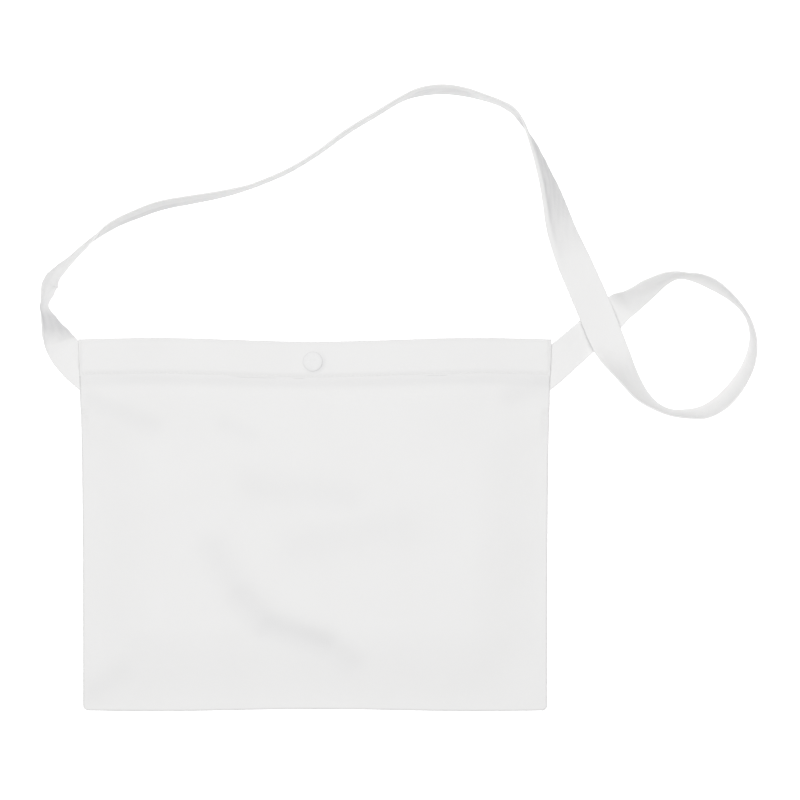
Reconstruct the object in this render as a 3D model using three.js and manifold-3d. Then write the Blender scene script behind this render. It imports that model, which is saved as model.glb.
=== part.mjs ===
// A cycling musette: a flat cotton shoulder pouch lying on its back, with one long tape strap
// laid out above it and a press snap that holds its mouth shut.
// Millimetres, +Z up. X runs across the pouch, Y from its foot to its mouth, and the origin is
// in the middle of its underside, on the surface that it lies on.
import * as THREE from 'three';
import { mergeVertices } from 'three/addons/utils/BufferGeometryUtils.js';
import Module from 'manifold-3d';

const wasm = await Module();
wasm.setup();

// Pouch
const MOUTH_WIDTH = 357;
const FOOT_WIDTH = 351;
const POUCH_HEIGHT = 280;
const MOUTH_FLARE = 3;
const EDGE_WAVES = 0.7;
const CORNER_RADIUS = 3.5;
const CLOTH = 1;
const GAP = 0.3;
const SEAM_MARGIN = 5;
const SIDE_SWELL = 54;
const FOOT_SWELL = 60;
const POUCH_ROOM = 8;
const MOUTH_DIP = 1.4;
const FOOT_DIP = 0.8;
const FOLD_JOIN = 5;

// Hems at the mouth
const HEM_HEIGHT = 28;
const HEM_FADE = 62;
const HEM_GROOVE = 0.9;
const GROOVE_FLOOR = 7.5;
const GROOVE_WIDTH = 18;
const MOUTH_GAPE = 6.6;

// Strap
const TAPE_WIDTH = 25;
const TAPE = 1.2;
const STRAP_RISE = 194;
const SEAM_TUCK = 11;
const CREASE_SOFTNESS = 0.14;

// Press snap
const SNAP_DROP = 15;
const SNAP_SIDE = -1.5;
const CAP_DIAMETER = 15;
const CAP_HEIGHT = 2.6;
const SHANK_DIAMETER = 4.4;
const SOCKET_DIAMETER = 11;
const SOCKET_HEIGHT = 2;
const STUD_FLANGE = 0.8;
const KNOB_HEIGHT = 1.2;
const POST_DIAMETER = 11;

// Mesh fineness
const FRONT_COLUMNS = 36;
const FRONT_ROWS = 25;
const BACK_COLUMNS = 20;
const BACK_ROWS = 9;
const STRAP_STEPS = 2;
const TAPE_CELLS = 5;
const ROUND_SIDES = 24;
const MERGED_WITHIN = 1e-4;

// Folds and dents of the front. Places are shares: across, of half the pouch's width from its
// middle, and up, of its height from the foot. Width is a share of the height, and depth of the
// pouch's room. A depth below zero is a ridge. Where folds meet, their depths don't add up.
const FOLDS = [
  { across: -0.43, up: 0.43, toAcross: -0.32, toUp: 0.31, width: 0.045, depth: 0.18 },
  { across: -0.32, up: 0.31, toAcross: -0.20, toUp: 0.23, width: 0.040, depth: 0.28 },
  { across: -0.20, up: 0.23, toAcross: 0.04, toUp: 0.18, width: 0.038, depth: 0.36 },
  { across: 0.04, up: 0.18, toAcross: 0.16, toUp: 0.13, width: 0.035, depth: 0.20 },
  { across: -0.27, up: 0.60, toAcross: 0.15, toUp: 0.57, width: 0.045, depth: 0.12 },
  { across: -0.07, up: 0.44, toAcross: 0.36, toUp: 0.49, width: 0.055, depth: 0.10 },
  { across: -0.96, up: 0.84, toAcross: -0.70, toUp: 0.77, width: 0.030, depth: 0.16 },
  { across: -0.88, up: 0.87, toAcross: -0.66, toUp: 0.85, width: 0.025, depth: -0.12 },
  { across: 0.84, up: 0.85, toAcross: 0.97, toUp: 0.88, width: 0.030, depth: 0.18 },
  { across: -0.38, up: 0.77, toAcross: -0.28, toUp: 0.74, width: 0.030, depth: 0.10 },
  { across: -0.95, up: 0.05, toAcross: -0.84, toUp: 0.10, width: 0.035, depth: 0.16 },
];

// Profiles of the snap's cap and of the stud's knob, from the axis outward. Radius is a share of
// the cap's or the shank's radius, and height a share of the cap's or the knob's height.
const CAP_PROFILE = [
  { radius: 0, height: 1 },
  { radius: 0.55, height: 0.96 },
  { radius: 0.82, height: 0.80 },
  { radius: 0.96, height: 0.50 },
  { radius: 1, height: 0.20 },
  { radius: 0.95, height: 0 },
];
const KNOB_PROFILE = [
  { radius: 0, height: 1 },
  { radius: 0.80, height: 1 },
  { radius: 1, height: 0.60 },
  { radius: 0.86, height: 0 },
];

// The strap from the right seam, round its loop, over itself, along the top and down to the left
// seam. Each row places the tape's lower edge: across is a share of half the mouth's width, and
// up a share of the strap's rise above the mouth. Lean is the angle in degrees at which the tape
// stands on that edge, 0 flat and 90 upright. Crease is the share of the tape's width beyond
// which it bends back down, by bend degrees. Over is how many tapes it lies above the surface,
// and wide its width as a share of the tape's.
const STRAP = [
  { across: 0.920, up: -0.260, lean: 0, crease: 1, bend: 0, over: 1, wide: 1.12 },
  { across: 0.994, up: -0.198, lean: 0, crease: 1, bend: 0, over: 1, wide: 1.12 },
  { across: 1.045, up: -0.160, lean: 0, crease: 1, bend: 0, over: 1, wide: 1.08 },
  { across: 1.110, up: -0.105, lean: 0, crease: 1, bend: 0, over: 1, wide: 1.02 },
  { across: 1.191, up: -0.039, lean: 0, crease: 1, bend: 0, over: 0, wide: 1 },
  { across: 1.292, up: 0.043, lean: 0, crease: 1, bend: 0, over: 0, wide: 1 },
  { across: 1.329, up: 0.080, lean: 0, crease: 1, bend: 0, over: 0, wide: 1 },
  { across: 1.369, up: 0.113, lean: 34, crease: 1, bend: 0, over: 0, wide: 1 },
  { across: 1.436, up: 0.170, lean: 51, crease: 1, bend: 0, over: 0, wide: 1 },
  { across: 1.492, up: 0.218, lean: 74, crease: 1, bend: 0, over: 0, wide: 1 },
  { across: 1.546, up: 0.240, lean: 86, crease: 1, bend: 0, over: 0, wide: 1 },
  { across: 1.602, up: 0.230, lean: 80, crease: 1, bend: 0, over: 0, wide: 1 },
  { across: 1.661, up: 0.206, lean: 78, crease: 1, bend: 0, over: 0, wide: 1 },
  { across: 1.725, up: 0.175, lean: 84, crease: 1, bend: 0, over: 0, wide: 1 },
  { across: 1.784, up: 0.136, lean: 91, crease: 1, bend: 0, over: 0, wide: 1 },
  { across: 1.827, up: 0.086, lean: 94, crease: 1, bend: 0, over: 0, wide: 1 },
  { across: 1.844, up: 0.023, lean: 91, crease: 1, bend: 0, over: 0, wide: 1 },
  { across: 1.835, up: -0.039, lean: 84, crease: 1, bend: 0, over: 0, wide: 1 },
  { across: 1.806, up: -0.105, lean: 77, crease: 1, bend: 0, over: 0, wide: 1 },
  { across: 1.755, up: -0.171, lean: 71, crease: 1, bend: 0, over: 0, wide: 1 },
  { across: 1.695, up: -0.226, lean: 68, crease: 1, bend: 0, over: 0, wide: 1 },
  { across: 1.632, up: -0.261, lean: 70, crease: 1, bend: 0, over: 0, wide: 1 },
  { across: 1.572, up: -0.272, lean: 75, crease: 1, bend: 0, over: 0, wide: 1 },
  { across: 1.509, up: -0.271, lean: 78, crease: 1, bend: 0, over: 0, wide: 1 },
  { across: 1.454, up: -0.247, lean: 74, crease: 1, bend: 0, over: 0, wide: 1 },
  { across: 1.403, up: -0.195, lean: 60, crease: 1, bend: 0, over: 0, wide: 1 },
  { across: 1.360, up: -0.117, lean: 44, crease: 1, bend: 0, over: 0.3, wide: 1 },
  { across: 1.326, up: -0.031, lean: 17, crease: 1, bend: 0, over: 1.2, wide: 1.03 },
  { across: 1.288, up: 0.058, lean: 1, crease: 1, bend: 0, over: 1.2, wide: 1.05 },
  { across: 1.233, up: 0.183, lean: 0, crease: 1, bend: 0, over: 1.2, wide: 1.06 },
  { across: 1.165, up: 0.323, lean: 2, crease: 1, bend: 0, over: 0, wide: 1.04 },
  { across: 1.104, up: 0.440, lean: 16, crease: 0.8, bend: 20, over: 0, wide: 1 },
  { across: 1.056, up: 0.545, lean: 42, crease: 0.8, bend: 40, over: 0, wide: 1 },
  { across: 1.010, up: 0.634, lean: 57, crease: 0.8, bend: 50, over: 0, wide: 1 },
  { across: 0.953, up: 0.735, lean: 72, crease: 0.8, bend: 36, over: 0, wide: 1 },
  { across: 0.911, up: 0.798, lean: 82, crease: 0.9, bend: 20, over: 0, wide: 1 },
  { across: 0.873, up: 0.844, lean: 86, crease: 1, bend: 0, over: 0, wide: 1 },
  { across: 0.836, up: 0.884, lean: 87, crease: 1, bend: 0, over: 0, wide: 1 },
  { across: 0.784, up: 0.914, lean: 87, crease: 1, bend: 0, over: 0, wide: 1 },
  { across: 0.720, up: 0.934, lean: 91, crease: 1, bend: 0, over: 0, wide: 1 },
  { across: 0.631, up: 0.953, lean: 95, crease: 1, bend: 0, over: 0, wide: 1 },
  { across: 0.538, up: 0.961, lean: 97, crease: 1, bend: 0, over: 0, wide: 1 },
  { across: 0.444, up: 0.953, lean: 95, crease: 1, bend: 0, over: 0, wide: 1 },
  { across: 0.364, up: 0.930, lean: 90, crease: 1, bend: 0, over: 0, wide: 1 },
  { across: 0.258, up: 0.872, lean: 90, crease: 1, bend: 0, over: 0, wide: 1 },
  { across: 0.126, up: 0.798, lean: 90, crease: 1, bend: 0, over: 0, wide: 1 },
  { across: 0.003, up: 0.716, lean: 89, crease: 1, bend: 0, over: 0, wide: 1 },
  { across: -0.124, up: 0.648, lean: 89, crease: 1, bend: 0, over: 0, wide: 1 },
  { across: -0.256, up: 0.597, lean: 89, crease: 1, bend: 0, over: 0, wide: 1 },
  { across: -0.383, up: 0.560, lean: 92, crease: 1, bend: 0, over: 0, wide: 1 },
  { across: -0.523, up: 0.533, lean: 94, crease: 1, bend: 0, over: 0, wide: 1 },
  { across: -0.646, up: 0.510, lean: 95, crease: 1, bend: 0, over: 0, wide: 1 },
  { across: -0.743, up: 0.479, lean: 92, crease: 0.5, bend: 8, over: 0, wide: 1 },
  { across: -0.837, up: 0.444, lean: 90, crease: 0.5, bend: 12, over: 0, wide: 1 },
  { across: -0.926, up: 0.397, lean: 92, crease: 0.5, bend: 24, over: 0, wide: 1 },
  { across: -0.998, up: 0.350, lean: 87, crease: 0.5, bend: 36, over: 0, wide: 1 },
  { across: -1.070, up: 0.304, lean: 72, crease: 0.6, bend: 24, over: 0, wide: 1 },
  { across: -1.125, up: 0.265, lean: 60, crease: 0.8, bend: 14, over: 0, wide: 1 },
  { across: -1.155, up: 0.222, lean: 51, crease: 1, bend: 14, over: 0, wide: 1 },
  { across: -1.160, up: 0.171, lean: 60, crease: 1, bend: 50, over: 0, wide: 1 },
  { across: -1.160, up: 0.128, lean: 76, crease: 0.9, bend: 85, over: 0, wide: 1 },
  { across: -1.159, up: 0.085, lean: 80, crease: 0.55, bend: 90, over: 0, wide: 1 },
  { across: -1.155, up: 0.032, lean: 74, crease: 0.25, bend: 80, over: 0, wide: 1 },
  { across: -1.141, up: -0.030, lean: 44, crease: 0.1, bend: 46, over: 0.7, wide: 1 },
  { across: -1.108, up: -0.092, lean: 0, crease: 0.1, bend: 0, over: 1, wide: 1.03 },
  { across: -1.056, up: -0.148, lean: 0, crease: 1, bend: 0, over: 1, wide: 1.08 },
  { across: -0.994, up: -0.198, lean: 0, crease: 1, bend: 0, over: 1, wide: 1.12 },
  { across: -0.920, up: -0.260, lean: 0, crease: 1, bend: 0, over: 1, wide: 1.12 },
];

// Heights that follow from the layers at the mouth, from the surface up.
const HALF_HEIGHT = POUCH_HEIGHT / 2;
const PITCH = CLOTH + GAP;
const HEM_EDGE = 1.5;
const HEM_INSET = CLOTH + 3.5 * GAP;
const BACK_RAMP = 9;
const BACK_TOP = PITCH + CLOTH;
const STRAP_SEAT = BACK_TOP + GAP;
const FRONT_AT_STRAP = STRAP_SEAT + TAPE + GAP;
const BACK_HEM_TOP = BACK_TOP + PITCH;
const SOCKET_BASE = BACK_HEM_TOP + GAP + STUD_FLANGE + GAP;
const FRONT_AT_SNAP = SOCKET_BASE + SOCKET_HEIGHT + GAP + PITCH;
const FRONT_AT_GAPE = BACK_HEM_TOP + MOUTH_GAPE + PITCH;
const STRAP_DEPTH = -STRAP[0].up * STRAP_RISE;
const STRAP_CLEAR = 4;
const END_ZONE = SEAM_TUCK + STRAP_CLEAR;
const BACK_END_ZONE = 3 * END_ZONE;

const smooth = (from, to, value) => THREE.MathUtils.smoothstep(value, from, to);
const lerp = THREE.MathUtils.lerp;

// The pouch's outline. Across runs from -1 at the left side to 1 at the right one.
const ripple = (across) => Math.cos(2 * Math.PI * EDGE_WAVES * across);
const mouthLine = (across) => HALF_HEIGHT - MOUTH_DIP * ripple(across);
const footLine = (across) => -HALF_HEIGHT + FOOT_DIP * ripple(across);

function halfWidth(y) {
  const share = Math.max(0, (y + HALF_HEIGHT) / POUCH_HEIGHT);
  const inCorner = THREE.MathUtils.clamp(CORNER_RADIUS - (y + HALF_HEIGHT), 0, CORNER_RADIUS);
  const pulledIn = CORNER_RADIUS - Math.sqrt(CORNER_RADIUS ** 2 - inCorner ** 2);
  return lerp(FOOT_WIDTH, MOUTH_WIDTH, share ** MOUTH_FLARE) / 2 - pulledIn;
}

// A closed solid between two sheets of points, given as rows of {outer, inner} point pairs.
function sheetSolid(rows) {
  const positions = [];
  const count = rows[0].length;
  for (const row of rows) {
    for (const pair of row) {
      positions.push(...pair.outer.toArray(), ...pair.inner.toArray());
    }
  }
  const outer = (row, column) => 2 * (row * count + column);
  const inner = (row, column) => outer(row, column) + 1;
  const index = [];
  const quad = (a, b, c, d) => index.push(a, b, c, a, c, d);
  const lastRow = rows.length - 1;
  const lastColumn = count - 1;
  for (let r = 0; r < lastRow; r += 1) {
    for (let c = 0; c < lastColumn; c += 1) {
      quad(outer(r, c), outer(r, c + 1), outer(r + 1, c + 1), outer(r + 1, c));
      quad(inner(r, c), inner(r + 1, c), inner(r + 1, c + 1), inner(r, c + 1));
    }
    quad(outer(r, 0), outer(r + 1, 0), inner(r + 1, 0), inner(r, 0));
    quad(outer(r, lastColumn), inner(r, lastColumn), inner(r + 1, lastColumn), outer(r + 1, lastColumn));
  }
  for (let c = 0; c < lastColumn; c += 1) {
    quad(outer(0, c), inner(0, c), inner(0, c + 1), outer(0, c + 1));
    quad(outer(lastRow, c), outer(lastRow, c + 1), inner(lastRow, c + 1), inner(lastRow, c));
  }
  const geometry = new THREE.BufferGeometry();
  geometry.setAttribute('position', new THREE.Float32BufferAttribute(positions, 3));
  geometry.setIndex(index);
  return facingOut(geometry);
}

// Turns a closed geometry's faces outward.
function facingOut(geometry) {
  const at = geometry.getAttribute('position');
  const index = geometry.getIndex().array;
  const [a, b, c] = [new THREE.Vector3(), new THREE.Vector3(), new THREE.Vector3()];
  let volume = 0;
  for (let i = 0; i < index.length; i += 3) {
    a.fromBufferAttribute(at, index[i]);
    b.fromBufferAttribute(at, index[i + 1]);
    c.fromBufferAttribute(at, index[i + 2]);
    volume += a.dot(b.cross(c));
  }
  if (volume < 0) {
    for (let i = 0; i < index.length; i += 3) {
      [index[i + 1], index[i + 2]] = [index[i + 2], index[i + 1]];
    }
  }
  return geometry;
}

function toSolid(geometry) {
  const bare = geometry.clone();
  bare.deleteAttribute('normal');
  bare.deleteAttribute('uv');
  const merged = mergeVertices(bare, MERGED_WITHIN);
  return new wasm.Manifold(new wasm.Mesh({
    numProp: 3,
    vertProperties: new Float32Array(merged.getAttribute('position').array),
    triVerts: new Uint32Array(merged.getIndex().array),
  }));
}

function toGeometry(solid) {
  const mesh = solid.getMesh();
  const geometry = new THREE.BufferGeometry();
  geometry.setAttribute('position', new THREE.BufferAttribute(mesh.vertProperties, 3));
  geometry.setIndex(new THREE.BufferAttribute(mesh.triVerts, 1));
  return geometry;
}

const cut = (geometry, ...tools) =>
  toGeometry(tools.reduce((solid, tool) => solid.subtract(toSolid(tool)), toSolid(geometry)));

// A turned piece about the snap's axis, from points of (radius, height).
function turned(profile) {
  const points = profile.map(([radius, height]) => new THREE.Vector2(radius, height));
  const geometry = new THREE.LatheGeometry(points, ROUND_SIDES);
  geometry.rotateX(Math.PI / 2);
  geometry.translate(SNAP_SIDE, mouthLine(0) - SNAP_DROP, 0);
  geometry.deleteAttribute('normal');
  geometry.deleteAttribute('uv');
  return facingOut(mergeVertices(geometry, MERGED_WITHIN));
}

const snapHole = (radius, low, high) =>
  turned([[0, low], [radius, low], [radius, high], [0, high]]);

function box(fromX, toX, fromY, toY, fromZ, toZ) {
  const geometry = new THREE.BoxGeometry(toX - fromX, toY - fromY, toZ - fromZ);
  geometry.translate((fromX + toX) / 2, (fromY + toY) / 2, (fromZ + toZ) / 2);
  return geometry;
}

// Heights of the two cloths' undersides, by place and by how far down from the mouth.
function backUnderside(down) {
  const start = HEM_HEIGHT + HEM_EDGE;
  return PITCH * (1 - smooth(start, start + BACK_RAMP, down));
}

function seatHeight(down) {
  const start = Math.max(STRAP_DEPTH, HEM_HEIGHT + HEM_EDGE + BACK_RAMP) + STRAP_CLEAR;
  return lerp(FRONT_AT_STRAP, PITCH, smooth(start, start + 8 * STRAP_CLEAR, down));
}

function mouthUnderside(x) {
  const far = Math.abs(x);
  const flat = CAP_DIAMETER;
  const crest = MOUTH_WIDTH / 4;
  const end = MOUTH_WIDTH / 2 - END_ZONE;
  const inner = lerp(FRONT_AT_SNAP, FRONT_AT_GAPE, smooth(flat, crest, far));
  return lerp(inner, FRONT_AT_STRAP, smooth(crest, end, far));
}

function relief(x, y) {
  let dent = 0;
  let ridge = 0;
  const point = new THREE.Vector3(x, y, 0);
  const nearest = new THREE.Vector3();
  for (const fold of FOLDS) {
    const place = (across, up) =>
      new THREE.Vector3(across * halfWidth(0), up * POUCH_HEIGHT - HALF_HEIGHT, 0);
    const line = new THREE.Line3(place(fold.across, fold.up), place(fold.toAcross, fold.toUp));
    line.closestPointToPoint(point, true, nearest);
    const share = nearest.distanceTo(point) / (fold.width * POUCH_HEIGHT);
    const depth = fold.depth * POUCH_ROOM * Math.exp(-share * share);
    dent += Math.max(depth, 0) ** FOLD_JOIN;
    ridge += Math.max(-depth, 0) ** FOLD_JOIN;
  }
  return dent ** (1 / FOLD_JOIN) - ridge ** (1 / FOLD_JOIN);
}

function frontUnderside(x, y, across) {
  const down = mouthLine(across) - y;
  const side = halfWidth(y) - Math.abs(x);
  const foot = y - footLine(across);
  const fill = smooth(SEAM_MARGIN, SEAM_MARGIN + SIDE_SWELL, side)
    * smooth(SEAM_MARGIN, SEAM_MARGIN + FOOT_SWELL, foot);
  const seat = seatHeight(down);
  const body = seat + (CLOTH + POUCH_ROOM - relief(x, y) - seat) * fill;
  const past = down - HEM_HEIGHT - HEM_EDGE;
  const groove = HEM_GROOVE * fill * smooth(0, HEM_EDGE, past)
    * (1 - smooth(GROOVE_FLOOR, GROOVE_WIDTH, past));
  return lerp(mouthUnderside(x), body, smooth(0, HEM_FADE, past)) - groove;
}

// Places along a side from -1 to 1 that lie closer together towards both ends.
const easedPlaces = (count) => Array.from({ length: count + 1 }, (_, i) => {
  const share = 2 * i / count - 1;
  return (share + Math.sin(share * Math.PI / 2)) / 2;
});

// A cloth from its foot to just inside the hem, over the underside that is given.
function clothPanel(columns, rowsBelow, underside) {
  const places = easedPlaces(columns);
  const bodyTop = HEM_HEIGHT + HEM_EDGE;
  const heights = easedPlaces(rowsBelow).map((place) => ({ share: (place + 1) / 2 }));
  heights.push({ down: HEM_HEIGHT / 2 }, { down: HEM_INSET });
  const rows = heights.map(({ share, down }) => places.map((across) => {
    const y = down === undefined
      ? lerp(footLine(across), mouthLine(across) - bodyTop, share)
      : mouthLine(across) - down;
    const x = across * halfWidth(y);
    const z = underside(x, y, across);
    return { outer: new THREE.Vector3(x, y, z + CLOTH), inner: new THREE.Vector3(x, y, z) };
  }));
  return sheetSolid(rows);
}

// A band folded over a cloth's mouth edge, one leg above it and one below.
function hemBand(columns, underside) {
  const bendSteps = 4;
  const middle = CLOTH / 2;
  const outerRadius = middle + PITCH;
  const innerRadius = middle + GAP;
  const section = [{ down: HEM_HEIGHT, turn: 0 }];
  for (let i = 0; i <= bendSteps; i += 1) {
    section.push({ down: outerRadius, turn: Math.PI * i / bendSteps });
  }
  section.push({ down: HEM_HEIGHT, turn: Math.PI });
  const rows = easedPlaces(columns).map((across) => {
    const x = across * halfWidth(HALF_HEIGHT);
    const z = underside(x) + middle;
    const point = (radius, { down, turn }) => new THREE.Vector3(
      x, mouthLine(across) - down + radius * Math.sin(turn), z + radius * Math.cos(turn));
    return section.map((step) => ({ outer: point(outerRadius, step), inner: point(innerRadius, step) }));
  });
  return sheetSolid(rows);
}

// Cuts a hem's inner leg away at both ends, where the strap's ends lie.
function endCuts(zone, fromZ, toZ) {
  const end = MOUTH_WIDTH / 2;
  const top = HALF_HEIGHT + CAP_DIAMETER;
  const low = HALF_HEIGHT - HEM_HEIGHT - CAP_DIAMETER;
  return [
    box(-end - zone, -end + zone, low, top, fromZ, toZ),
    box(end - zone, end + zone, low, top, fromZ, toZ),
  ];
}

// The strap: a tape swept along its lower edge, leaning and creased as its rows say.
function strapSolid() {
  const place = (row) => new THREE.Vector3(
    row.across * MOUTH_WIDTH / 2, HALF_HEIGHT + row.up * STRAP_RISE, 0);
  const route = new THREE.CatmullRomCurve3(STRAP.map(place), false, 'catmullrom', 0.5);
  const stance = new THREE.CatmullRomCurve3(
    STRAP.map((row) => new THREE.Vector3(row.lean, row.crease, row.bend)), false, 'catmullrom', 0.5);
  const steps = (STRAP.length - 1) * STRAP_STEPS;
  const rows = [];
  for (let i = 0; i <= steps; i += 1) {
    const t = i / steps;
    const before = Math.min(Math.floor(i / STRAP_STEPS), STRAP.length - 2);
    const share = smooth(0, 1, i / STRAP_STEPS - before);
    const height = (row) => row.over <= 1 ? row.over * STRAP_SEAT : row.over * (TAPE + GAP);
    const low = lerp(height(STRAP[before]), height(STRAP[before + 1]), share);
    const width = TAPE_WIDTH * lerp(STRAP[before].wide, STRAP[before + 1].wide, share);
    const stanceHere = stance.getPoint(t);
    stanceHere.clamp(
      stance.points[before].clone().min(stance.points[before + 1]),
      stance.points[before].clone().max(stance.points[before + 1]));
    const { x: lean, y: crease, z: bend } = stanceHere;
    const edge = route.getPoint(t);
    const course = route.getTangent(t);
    const left = new THREE.Vector3(-course.y, course.x, 0).normalize();
    rows.push(tapeSection(edge, left, low, width, lean, crease, bend));
  }
  return sheetSolid(rows);
}

// One cross-section of the tape, from its lower edge to its raised one.
function tapeSection(edge, left, low, width, lean, crease, bend) {
  const cell = width / TAPE_CELLS;
  const angleAt = (share) => THREE.MathUtils.degToRad(
    lean - bend * smooth(crease - CREASE_SOFTNESS, crease + CREASE_SOFTNESS, share));
  const middles = [];
  let across = 0;
  let height = 0;
  for (let i = 0; i <= TAPE_CELLS; i += 1) {
    middles.push({ across, height, angle: angleAt(i / TAPE_CELLS) });
    const angle = angleAt((i + 0.5) / TAPE_CELLS);
    across += cell * Math.cos(angle);
    height += cell * Math.sin(angle);
  }
  const corners = middles.map((middle) => [TAPE / 2, -TAPE / 2].map((side) => ({
    across: middle.across - side * Math.sin(middle.angle),
    height: middle.height + side * Math.cos(middle.angle),
  })));
  const lowest = Math.min(...corners.flat().map((corner) => corner.height));
  const point = (corner) => edge.clone()
    .addScaledVector(left, corner.across)
    .setZ(corner.height - lowest + low);
  return corners.map(([outer, inner]) => ({ outer: point(outer), inner: point(inner) }));
}

// The pouch's four pieces of cloth
const shankHole = SHANK_DIAMETER / 2 + GAP;
const frontHole = snapHole(shankHole, 0, 4 * FRONT_AT_GAPE);
const backHole = snapHole(shankHole, -PITCH, 4 * FRONT_AT_GAPE);
const postHole = snapHole(POST_DIAMETER / 2 + GAP, -PITCH, CLOTH + GAP / 2);

const frontPanel = cut(clothPanel(FRONT_COLUMNS, FRONT_ROWS, frontUnderside), frontHole);
const backPanel = cut(
  clothPanel(BACK_COLUMNS, BACK_ROWS, (x, y, across) => backUnderside(mouthLine(across) - y)), backHole);
const frontHem = cut(
  hemBand(FRONT_COLUMNS, mouthUnderside), frontHole, ...endCuts(END_ZONE, -PITCH, FRONT_AT_STRAP));
const backHem = cut(
  hemBand(BACK_COLUMNS, () => PITCH), backHole, postHole,
  ...endCuts(BACK_END_ZONE, BACK_TOP, 2 * FRONT_AT_GAPE));

// The strap, with its ends cut off along the seams, a tuck inside them
const tuckedTo = MOUTH_WIDTH / 2 - SEAM_TUCK;
const strap = cut(strapSolid(), box(
  -tuckedTo, tuckedTo, HALF_HEIGHT - 2 * STRAP_DEPTH, HALF_HEIGHT, -TAPE, 2 * FRONT_AT_STRAP));

// The press snap, from the outer cap to the post disc under the back hem
const frontHemTop = FRONT_AT_SNAP + CLOTH + PITCH;
const capBase = frontHemTop + GAP;
const shank = SHANK_DIAMETER / 2;
const flangeTop = BACK_HEM_TOP + GAP + STUD_FLANGE;
const knobTop = flangeTop + KNOB_HEIGHT;

const snapCap = turned([
  ...CAP_PROFILE.map(({ radius, height }) => [radius * CAP_DIAMETER / 2, capBase + height * CAP_HEIGHT]),
  [shank, capBase],
  [shank, knobTop + GAP],
  [0, knobTop + GAP],
]);
const snapSocket = turned([
  [shankHole, SOCKET_BASE],
  [SOCKET_DIAMETER / 2 - GAP, SOCKET_BASE],
  [SOCKET_DIAMETER / 2, SOCKET_BASE + GAP],
  [SOCKET_DIAMETER / 2, SOCKET_BASE + SOCKET_HEIGHT - GAP],
  [SOCKET_DIAMETER / 2 - GAP, SOCKET_BASE + SOCKET_HEIGHT],
  [shankHole, SOCKET_BASE + SOCKET_HEIGHT],
  [shankHole, SOCKET_BASE],
]);
const snapStud = turned([
  ...KNOB_PROFILE.map(({ radius, height }) => [radius * shank, flangeTop + height * KNOB_HEIGHT]),
  [SOCKET_DIAMETER / 2, flangeTop],
  [SOCKET_DIAMETER / 2, BACK_HEM_TOP + GAP],
  [0, BACK_HEM_TOP + GAP],
]);
const snapPost = turned([
  [0, BACK_HEM_TOP],
  [shank, BACK_HEM_TOP],
  [shank, CLOTH],
  [POST_DIAMETER / 2 - GAP, CLOTH],
  [POST_DIAMETER / 2, CLOTH - GAP],
  [POST_DIAMETER / 2, 0],
  [0, 0],
]);

const cotton = { color: 0xf1f0ee, roughness: 0.95, metalness: 0 };
const tape = { color: 0xefeeec, roughness: 0.9, metalness: 0 };
const enamel = { color: 0xf4f4f2, roughness: 0.35, metalness: 0 };

const musette = new THREE.Group();

function addPiece(name, geometry, finish) {
  geometry.computeVertexNormals();
  const mesh = new THREE.Mesh(geometry, new THREE.MeshStandardMaterial(finish));
  mesh.name = name;
  musette.add(mesh);
}

addPiece('back_panel', backPanel, cotton);
addPiece('front_panel', frontPanel, cotton);
addPiece('back_hem', backHem, cotton);
addPiece('front_hem', frontHem, cotton);
addPiece('strap', strap, tape);
addPiece('snap_cap', snapCap, enamel);
addPiece('snap_socket', snapSocket, enamel);
addPiece('snap_stud', snapStud, enamel);
addPiece('snap_post', snapPost, enamel);

export default musette;
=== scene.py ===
# %% [markdown]
# # A cotton musette laid out flat
# A musette is a thin cotton pouch with one long tape strap. This lesson dresses its plain solids
# in cloth: two panels sewn together, a folded hem at the mouth, a tape that twists on its way
# round, a press snap, and the stitches that hold it all.
# The solids come first, as a fixed frame. Every piece is then made in the same place and in
# metres, so nothing has to be fitted afterwards.

# %% Load the solids
import math

import bmesh
import bpy
from mathutils import Euler, Matrix, Vector, noise


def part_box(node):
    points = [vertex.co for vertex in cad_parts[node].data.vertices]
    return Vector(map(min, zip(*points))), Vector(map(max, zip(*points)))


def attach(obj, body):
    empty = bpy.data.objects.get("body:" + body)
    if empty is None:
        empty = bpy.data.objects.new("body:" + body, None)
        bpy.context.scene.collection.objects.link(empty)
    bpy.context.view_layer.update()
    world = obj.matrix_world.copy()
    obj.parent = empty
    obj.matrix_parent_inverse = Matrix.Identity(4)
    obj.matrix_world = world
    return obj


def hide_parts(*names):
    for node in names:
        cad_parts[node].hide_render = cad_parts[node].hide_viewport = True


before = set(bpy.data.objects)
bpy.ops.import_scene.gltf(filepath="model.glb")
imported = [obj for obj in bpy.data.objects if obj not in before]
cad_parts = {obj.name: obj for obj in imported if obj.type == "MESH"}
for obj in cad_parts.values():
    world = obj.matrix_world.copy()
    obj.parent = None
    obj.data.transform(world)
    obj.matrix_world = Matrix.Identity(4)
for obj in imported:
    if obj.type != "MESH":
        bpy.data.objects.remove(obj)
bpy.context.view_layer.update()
MM = 0.001

# %% [markdown]
# ## Camera
# The bag was seen from straight above by a long lens, so its outline hardly changes with height.
# A camera that looks straight down needs no turn: its picture's top is +Y. The lens follows from
# how much of the floor the picture spans.

# %% The camera over the bag
CAMERA_PLACE = Vector((0.0642, 0.0946, 1.5))
FLOOR_ACROSS_PICTURE = 0.6056

camera_data = bpy.data.cameras.new("camera")
camera_data.sensor_width = 36
camera_data.lens = camera_data.sensor_width * CAMERA_PLACE.z / FLOOR_ACROSS_PICTURE
camera = bpy.data.objects.new("camera", camera_data)
camera.location = CAMERA_PLACE
bpy.context.scene.collection.objects.link(camera)
bpy.context.scene.camera = camera
print("lens:", round(camera_data.lens, 1), "mm")

# %% [markdown]
# ## Sizes
# The corners of the solids give the pouch's size. The thicknesses are those of a light canvas:
# every seam stacks a few layers of it, so most heights below are counted in layers.

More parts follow.
